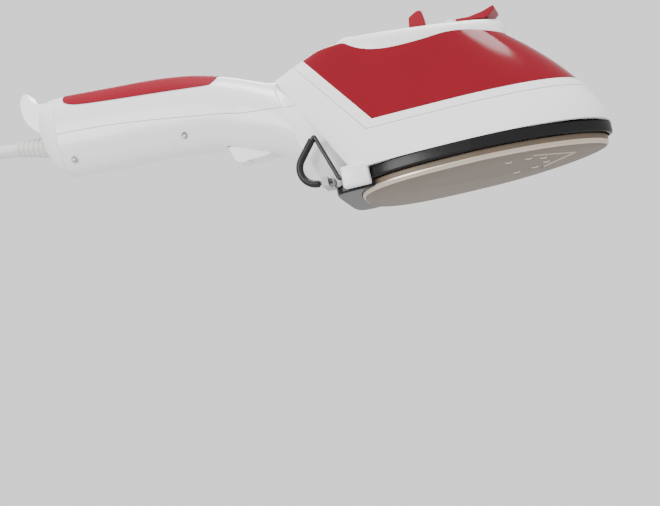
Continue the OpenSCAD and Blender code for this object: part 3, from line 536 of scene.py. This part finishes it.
def make_trigger():
    outline = [(-103, 40.4), (-103, 43.6), (-107, 45), (-115, 46), (-128, 46.4), (-131.2, 46), (-131.2, 45),
               (-129.9, 41), (-128.6, 38), (-127.4, 36.7), (-125.5, 36.2), (-122, 36.5), (-119.7, 36.7),
               (-115, 36.6),
               (-110.7, 36.9), (-107, 38.4)]
    lever = prism("trigger_lever", outline, 6)
    at = Matrix.Translation((-105.5, -20, 42)) @ Matrix.Rotation(-math.pi / 2, 4, "X")
    minus(lever, turned("bore", [(1.05, 0), (1.05, 40)], at, 32))
    for k in range(3):
        minus(lever, tube("rib", [(-122.6 + 3.4 * k, -7, 35.9), (-122.6 + 3.4 * k, 7, 35.9)], 0.8, 16))
    dress(lever, WHITE, "trigger", ["trigger"], bevel=0.7, steps=3)


# ---------- handle ----------

HANDLE_L, HW, GH = 92, 17.5, 22.3
HANDLE_XR = -129.8 - HANDLE_L
STATIONS = [(0, 75.4, -0.1), (0.14, 74.5, 0), (0.34, 73.2, 0.1), (0.6, 71.8, 0.5), (0.82, 69.3, 1),
            (1, 65.7, 2)]


def hoop(top, bottom, w_low, w_top, p=2.4, n=HOOP):
    (tx, tz), (bx, bz) = top, bottom
    out = []
    for k in range(n):
        a = 2 * math.pi * (k + 0.5) / n
        u, v = power(math.cos(a), 2 / p), power(math.sin(a), 2 / p)
        w = (w_low * (1 - u) + w_top * (1 + u)) / 2
        out.append(((tx + bx + (tx - bx) * u) / 2, -w * v, (tz + bz + (tz - bz) * u) / 2))
    return out


def handle_rows():
    """Rows of top x z, bottom x z, low half width and top half width, from the rear to the joint."""
    rows = []
    for share, mid, less in STATIONS:
        x = HANDLE_XR + share * HANDLE_L
        rows.append((x, mid + GH - less, x, mid - GH + less, HW, HW))
    rows += [(-120.6, 82.7, -117.5, 40.6, HW + 0.1, HW - 0.3), (-110.5, 78.3, -103.7, 35, HW + 1.6, HW - 0.2),
             (-104.6, 75.9, -93.5, 28.7, HW + 4, HW - 0.6), (-101.8, 75.4, -86, 21.5, HW + 6, HW - 1),
             (-100.6, 75.2, -80.5, 9.5, HW + 7.2, HW - 1.4),
             (plane_x(75), 75, plane_x(7), 7, HW + 7.5, HW - 2)]
    return rows


def handle_solid(name, inset, longer=False):
    rings = []
    for tx, tz, bx, bz, low, high in smooth(handle_rows(), 5):
        d = Vector((tx - bx, tz - bz)).normalized() * inset
        rings.append(hoop((tx - d.x, tz - d.y), (bx + d.x, bz + d.y), low - inset, high - inset))
    if longer:
        rings = [[(x - 2, y, z) for x, y, z in rings[0]]] + rings + [[(x + 6, y, z) for x, y, z in rings[-1]]]
    return loft(name, rings)


PARTING = [(-260, 75), (-225, 73.7), (-183.6, 70.3), (-131.3, 62.1), (-112, 58.4), (-50, 52)]


def parting_side(up):
    shift, end = (GAP, 140) if up else (-GAP, -20)
    line = [(r[0], r[1] + shift) for r in smooth(PARTING, 4)]
    return prism("parting", line + [(-50, end), (-260, end)], 60)


INLAY_R, INLAY_F = HANDLE_XR + 4.5, HANDLE_XR + HANDLE_L - 0.6


def inlay_region(grow=0.0):
    low = [(INLAY_R - grow, 94), (INLAY_R + 1.4, 91 - grow), (INLAY_R + 6, 88.6 - grow),
           (INLAY_R + 14, 87 - grow),
           (INLAY_R + 34, 84.6 - grow), (INLAY_F - 28, 82 - grow), (INLAY_F - 6, 79.8 - grow),
           (INLAY_F - 2, 80.6 - grow), (INLAY_F + grow, 83)]
    edge = [tuple(r) for r in smooth(low, 4)]
    return prism("inlay_region", [(INLAY_R - grow, 120)] + edge + [(INLAY_F + grow, 120)], 60)


SCREWS = [(HANDLE_XR + 6.5, 58.5), (HANDLE_XR + 70, 56)]


def make_handle():
    lower = handle_solid("lower_shell", 0)
    minus(lower, handle_solid("inside", SHELL, True))
    keep(lower, parting_side(False))
    minus(lower, block("slot", (-131.8, -6.35, 20), (-105.6, 6.35, 49)))
    for x, z in SCREWS:
        at = Matrix.Translation((x, -7, z)) @ Matrix.Rotation(math.pi / 2, 4, "X")
        minus(lower, turned("well", [(1.7, 0), (1.7, 14)], at, 32))
    dress(lower, WHITE, "body", ["handle_lower_shell"], bevel=0.3, steps=2)

    upper = handle_solid("upper_shell", 0)
    minus(upper, handle_solid("inside", SHELL, True))
    keep(upper, parting_side(True))
    pocket = inlay_region(0.12)
    minus(pocket, handle_solid("core", 1.2))
    minus(upper, pocket)
    dress(upper, WHITE, "body", ["handle_upper_shell"], bevel=0.3, steps=2)

    grip = handle_solid("grip_pad", -0.35)
    keep(grip, inlay_region())
    minus(grip, handle_solid("core", 1.2))
    dress(grip, GRIP, "body", ["grip_inlay"], bevel=0.45, steps=3)


SEAT = (HANDLE_XR - 9.6, 72.8)
ALONG = Matrix.Translation((SEAT[0], 0, SEAT[1])) @ Matrix.Rotation(math.radians(8.7 - 90), 4, "Y")


def make_cap():
    x0, c = HANDLE_XR, STATIONS[0][1]
    rows = [(x0 - 11.6, c + GH - 8, x0 - 11.9, c - GH + 20, HW - 8, HW - 6),
            (x0 - 10, c + GH - 3.6, x0 - 10.8, c - GH + 14, HW - 4.6, HW - 3.6),
            (x0 - 7.6, c + GH - 1.2, x0 - 8.2, c - GH + 8.4, HW - 2.4, HW - 2),
            (x0 - 4, c + GH - 0.2, x0 - 4.6, c - GH + 3.4, HW - 0.9, HW - 0.8),
            (x0 - GAP, c + GH + 0.1, x0 - GAP, c - GH - 0.1, HW, HW)]
    cap = loft("cap", [hoop((r[0], r[1]), (r[2], r[3]), r[4], r[5]) for r in smooth(rows, 5)])
    fin = [(-6, 77), (-10.5, 78), (-15.7, 81.1), (-20.1, 86.2), (-22.4, 92), (-22.9, 97), (-22.3, 101.2),
           (-20.6, 103.6),
           (-18.3, 104.3), (-16.4, 100.4), (-13.6, 97.6), (-10.4, 96.4), (-6, 96.4)]
    side = smooth(fin, 3)
    mid = (-14, 90)
    rows = []
    for y, cut in ((-6.5, 1.4), (-6.3, 0.7), (-5.8, 0.2), (-5.1, 0), (5.1, 0), (5.8, 0.2), (6.3, 0.7),
                   (6.5, 1.4)):
        rows.append([(x0 + x + cut * (mid[0] - x) / math.hypot(mid[0] - x, mid[1] - z), y,
                      z + cut * (mid[1] - z) / math.hypot(mid[0] - x, mid[1] - z)) for x, z in side])
    plus(cap, loft("hook", rows))
    minus(cap, turned("seat", [(5.1, -20), (5.1, 0), (6.35, 0), (6.35, 30)], ALONG, 48))
    dress(cap, WHITE, "body", ["end_cap"], bevel=0.35, steps=3)


def make_handle_screws():
    screws = None
    for x, z in SCREWS:
        at = Matrix.Translation((x, -10.1, z)) @ Matrix.Rotation(math.pi / 2, 4, "X")
        head = turned("screw_heads", [(1.2, 0), (1.6, 1), (1.6, 4.2), (1.35, 4.7), (0.7, 4.95)], at, 32)
        for turn in (0, math.pi / 2):
            slot = block("slot", (-1.0, -0.22, 4.2), (1.0, 0.22, 5.4))
            placed = at @ Matrix.Rotation(turn, 4, "Z")
            slot.data.transform(Matrix.Scale(MM, 4) @ placed @ Matrix.Scale(1 / MM, 4))
            minus(head, slot)
        screws = plus(screws, head) if screws else head
    dress(screws, STEEL, "body", ["handle_screws"])


# ---------- side loop ----------

def loop_route():
    """Foot, apex, round bottom and end of the side loop, as X-Z points."""
    foot, apex, centre = (HEEL - 6.9, LOOP_Z), (HEEL - 16, 34.3), (HEEL - 17.5, 18)
    r = centre[1] - LOOP_Z
    dx, dz = apex[0] - centre[0], apex[1] - centre[1]
    start = math.atan2(dz, dx) + math.acos(r / math.hypot(dx, dz))
    arc = [(centre[0] + r * math.cos(a), centre[1] + r * math.sin(a))
           for a in (start + (1.5 * math.pi - start) * k / 24 for k in range(25))]
    return foot, apex, arc


def corner(a, b, c, cut, n=6):
    """Points that round the corner b between a and c, starting cut away from it."""
    a, b, c = Vector(a), Vector(b), Vector(c)
    p, q = b + (a - b).normalized() * cut, b + (c - b).normalized() * cut
    return [p * (1 - t) ** 2 + b * 2 * t * (1 - t) + q * t * t for t in (k / n for k in range(n + 1))]


def make_loop():
    foot, apex, arc = loop_route()

    def at(p):
        return (p[0], -LOOP_Y, p[1])
    inner = (HEEL - 2.3, LOOP_Z)
    wire = [inner] + corner(inner, foot, apex, 1.3) + corner(foot, apex, arc[0], 1.1)
    first = Vector(apex) + (Vector(arc[0]) - Vector(apex)).normalized() * 2.6
    leg = tube("loop_wire", [at(p) for p in wire + [first]], WIRE_R, 24)
    end = (HEEL - 11.0, LOOP_Z)
    low = (arc[-2], arc[-1], (HEEL - 14, LOOP_Z), end)
    stub = tube("stub", [at(p) for p in low], [WIRE_R, WIRE_R, WIRE_R, 1.5], 24)
    plus(leg, stub)
    dress(leg, WIRE, "wire_loop", ["wire_loop"], bevel=0.2)
    begin = Vector(apex) + (Vector(arc[0]) - Vector(apex)).normalized() * 1.8
    second = Vector(apex) + (Vector(arc[0]) - Vector(apex)).normalized() * 2.4
    points = [at(begin), at(second)] + [at(p) for p in arc]
    radii = [1.45] + [SLEEVE_R] * (len(points) - 1)
    sleeve = tube("loop_cover", points, radii, 28)
    dress(sleeve, DARK_WIRE, "wire_loop", ["loop_sleeve"], bevel=0.3)
    lug = block("lug", (HEEL - 16, -LOOP_Y - 2.4, LOOP_Z - 2.4), (HEEL - 12.6, -LOOP_Y + 5.8, LOOP_Z + 2.4))
    y = 6.8 - SOLE_W / 2
    plus(lug, block("foot", (HEEL - 16, y, 6.5), (HEEL - 10.8, y + 6, LOOP_Z + 2.4)))
    hole = Matrix.Translation((HEEL - 21, -LOOP_Y, LOOP_Z)) @ Matrix.Rotation(math.pi / 2, 4, "Y")
    minus(lug, turned("bore", [(PIN_HOLE, 0), (PIN_HOLE, 20)], hole, 32))
    # The lug's grey is painted shade on a white part.
    dress(lug, GREY_AND_PAINTED_SHADE, "body", ["loop_lug"], bevel=0.5, steps=3)


# ---------- lead ----------

CORD_D = 7
LEAD_OUT = [(-252, 0, 75.6), (-262, 0, 77), (-272, 1, 76.4), (-281, 3, 73.2), (-289, 6, 67.8),
            (-295.5, 9.6, 60.8), (-300.5, 13.6, 53), (-305.5, 18, 45.4), (-311.5, 22.6, 38.2), (-319, 27, 32),
            (-327, 30.1, 27.8), (-335, 31.5, 25.6), (-342, 31.8, 25.1)]
LEAD_IN = [(-342, -51.8, 4.4), (-332, -51.8, 4.8), (-322, -51.8, 6.2), (-313, -51.8, 7.5)]
COIL_AT, COIL_R, TURNS, LAYERS = (-342, -10), (28.5, 41.8), 7.5, 4


def coil_points():
    """Four layers from the top down, wound inwards and outwards by turns."""
    per, each, step = 24, TURNS / LAYERS, 6.9
    out = []
    for k in range(1, int(TURNS * per)):
        t = k / per
        layer, part = int(t / each), (t / each) % 1
        r = COIL_R[1] - (COIL_R[1] - COIL_R[0]) * (part if layer % 2 == 0 else 1 - part)
        z = 4.4 + step * (LAYERS - 1)
        for j in range(1, LAYERS):
            drop = min(max((t - j * each) / 0.36 + 0.5, 0), 1)
            z -= step * drop * drop * (3 - 2 * drop)
        a = math.pi / 2 + 2 * math.pi * t
        out.append((COIL_AT[0] + r * math.cos(a), COIL_AT[1] + r * math.sin(a), z))
    return out


def make_lead():
    route = [tuple(p) for p in smooth(LEAD_OUT, 2)] + coil_points() + [tuple(p) for p in smooth(LEAD_IN, 2)]
    curve = bpy.data.curves.new("mains_lead", "CURVE")
    curve.dimensions = "3D"
    spline = curve.splines.new("POLY")
    spline.points.add(len(route) - 1)
    for p, q in zip(spline.points, route):
        p.co = (*(Vector(q) * MM), 1)
    curve.bevel_depth = CORD_D / 2 * MM
    curve.bevel_resolution = 5
    curve.use_fill_caps = True
    spline.use_smooth = True
    lead = bpy.data.objects.new("mains_lead", curve)
    bpy.context.scene.collection.objects.link(lead)
    curve.materials.append(LEAD)
    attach(lead, "body")
    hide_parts("power_cord", "cord_coil")
    return lead


def make_relief():
    profile = [(5, -12), (5, 0), (6.0, 0), (6.2, 0.25), (6.2, 2.0), (5.9, 2.4)]
    ribs = 6
    for k in range(ribs):
        t0 = 2.6 + (20.6 - 2.6) * k / ribs
        r = 5.7 - 1.5 * k / (ribs - 1)
        profile += [(r - 0.5, t0 + 0.1), (r - 0.5, t0 + 0.9), (r, t0 + 1.15), (r, t0 + 2.6),
                    (r - 0.2, t0 + 2.9)]
    profile += [(3.75, 21)]
    relief = turned("relief", profile, ALONG)
    dress(relief, LEAD, "body", ["strain_relief"], bevel=0.12)
    return relief


def rounded(half_w, half_h, r, n=8):
    """Rounded rectangle in Y-Z."""
    out = []
    for cy, cz, a0 in ((1, 1, 0), (-1, 1, 90), (-1, -1, 180), (1, -1, 270)):
        for k in range(n + 1):
            a = math.radians(a0 + 90 * k / n)
            out.append((cy * (half_w - r) + r * math.cos(a), cz * (half_h - r) + r * math.sin(a)))
    return out


def make_plug():
    x0, y0, z0 = LEAD_IN[-1]
    rows = [(0, 4.2, 4.2), (0.6, 4.7, 4.6)]
    rows += [(1.2 + 1.5 * k, 5.0 - 0.4 * (k % 2), 4.9 - 0.4 * (k % 2)) for k in range(6)]
    rows += [(10.2, 5.6, 5.4), (13, 8.2, 6.4), (16, 11.2, 7.0), (19, 12.2, 7.3), (30, 12.7, 7.4),
             (32, 12.5, 7.2),
             (33, 11.8, 6.5)]
    body = loft("plug", [[(x0 + x, y0 + y, z0 + z) for y, z in rounded(w, h, min(w, h) * 0.8)]
                         for x, w, h in rows])
    for s in (-1, 1):
        for k in range(4):
            x = x0 + 20 + 2.4 * k
            minus(body, tube("grip", [(x, y0 + s * 13.1, z0 - 5), (x, y0 + s * 13.1, z0 + 5)], 0.75, 12))
    dress(body, OFF_WHITE, "body", ["plug_body"], bevel=0.2)
    pins = None
    for s in (-1, 1):
        at = Matrix.Translation((x0 + 33, y0 + s * 7, z0)) @ Matrix.Rotation(math.pi / 2, 4, "Y")
        profile = [(2, 0), (2, 9), (1.85, 9.1), (1.9, 9.3), (2, 17), (1.8, 17.9), (1.3, 18.6), (0.5, 18.95)]
        pin = turned("pins", profile, at, 40)
        pins = plus(pins, pin) if pins else pin
    pins.data.materials.append(BRASS)
    pins.data.materials.append(RUBBER)
    for f in pins.data.polygons:
        f.material_index = 1 if f.center.x / MM < x0 + 42.05 else 0
    dress(pins, None, "body", ["plug_pins"])
    return body, pins


def make_tie():
    lo, hi = [Vector(c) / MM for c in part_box("coil_tie")]
    mid, half_x, half_z = (lo + hi) / 2, (hi.x - lo.x) / 2, (hi.z - lo.z) / 2
    thick = 0.8

    def ring(grow, y):
        return [(mid.x + a, y, mid.z + b) for a, b in rounded(half_x - grow, half_z - grow,
                                                              2.2 - grow * 0.5, 10)]
    ends = ((0.15, lo.y), (0, lo.y + 0.3), (0, hi.y - 0.3), (0.15, hi.y))
    strap = loft("strap", [ring(g, y) for g, y in ends])
    minus(strap, loft("room", [ring(thick, lo.y - 1), ring(thick, hi.y + 1)]))
    dress(strap, TIE, "body", ["coil_tie"], bevel=0.15)
    return strap


# ---------- camera, light and floor ----------

CAMERA_AT = (0.13832, -0.97855, -0.23282)
CAMERA_TURN = (13.084, -11.885, 10.682)      # azimuth, elevation and roll, degrees
LENS = 107.1


def make_camera():
    az, el, roll = (math.radians(v) for v in CAMERA_TURN)
    d = Vector((-math.sin(az) * math.cos(el), math.cos(az) * math.cos(el), -math.sin(el)))
    right = Vector((math.cos(az), math.sin(az), 0))
    up = right.cross(d)
    x = math.cos(roll) * right - math.sin(roll) * up
    y = math.sin(roll) * right + math.cos(roll) * up
    data = bpy.data.cameras.new("camera")
    data.lens, data.sensor_width = LENS, 36
    cam = bpy.data.objects.new("camera", data)
    bpy.context.scene.collection.objects.link(cam)
    cam.matrix_world = Matrix.Translation(CAMERA_AT) @ Matrix((x, y, -d)).transposed().to_4x4()
    bpy.context.scene.camera = cam


def make_light(name, at, target, size, power, colour=(1, 1, 1)):
    data = bpy.data.lights.new(name, "AREA")
    data.shape, data.size, data.energy, data.color = "DISK", size, power, colour
    lamp = bpy.data.objects.new(name, data)
    bpy.context.scene.collection.objects.link(lamp)
    lamp.location = at
    lamp.rotation_mode = "QUATERNION"
    lamp.rotation_quaternion = (Vector(target) - Vector(at)).to_track_quat("-Z", "Y")
    lamp.visible_camera = False


def make_stage():
    """A plain pale floor, low enough for the camera to look up at the sole."""
    half, low = 4000, -1200
    floor = piece("floor", [(-half, -half, low), (half, -half, low), (half, half, low), (-half, half, low)],
                  [(0, 1, 2, 3)])
    pale = look("floor_pale", (0.82, 0.82, 0.83), 0.7, (0.80, 0.80, 0.81), grain=(60, 0.02), mottle=3)
    floor.data.materials.append(pale)
    world = bpy.data.worlds.new("studio")
    bpy.context.scene.world = world
    world.use_nodes = True
    world.node_tree.nodes["Background"].inputs["Color"].default_value = (1, 1, 1, 1)
    world.node_tree.nodes["Background"].inputs["Strength"].default_value = 1.25


def dress_cad_nodes():
    """Materials for the inner parts whose CAD shape stays."""
    slots = {s["node"]: s["material_slot"] for s in frame["record"]["subparts"]}
    for name, obj in frame["nodes"].items():
        mat = CAD_LOOKS.get(slots.get(name))
        if mat is not None and obj.data is not None:
            obj.data.materials.clear()
            obj.data.materials.append(mat)
            obj.data.update()


make_camera()
make_stage()
make_light("key", (0.15, -0.25, 1.5), (-0.08, 0, 0.05), 0.8, 26)
make_light("fill", (-0.75, -1.25, 0.3), (-0.08, 0, 0.05), 0.7, 13)
make_light("rim", (-0.2, 1.0, 0.7), (-0.05, 0, 0.06), 0.6, 5)
dress_cad_nodes()
make_soleplate()
make_skirt()
make_housing()
make_frame_and_tank()
make_spine()
make_knob()
make_lid()
make_button()
make_trigger()
make_handle()
make_cap()
make_handle_screws()
make_loop()
lead = make_lead()
relief = make_relief()
plug, pins = make_plug()
tie = make_tie()
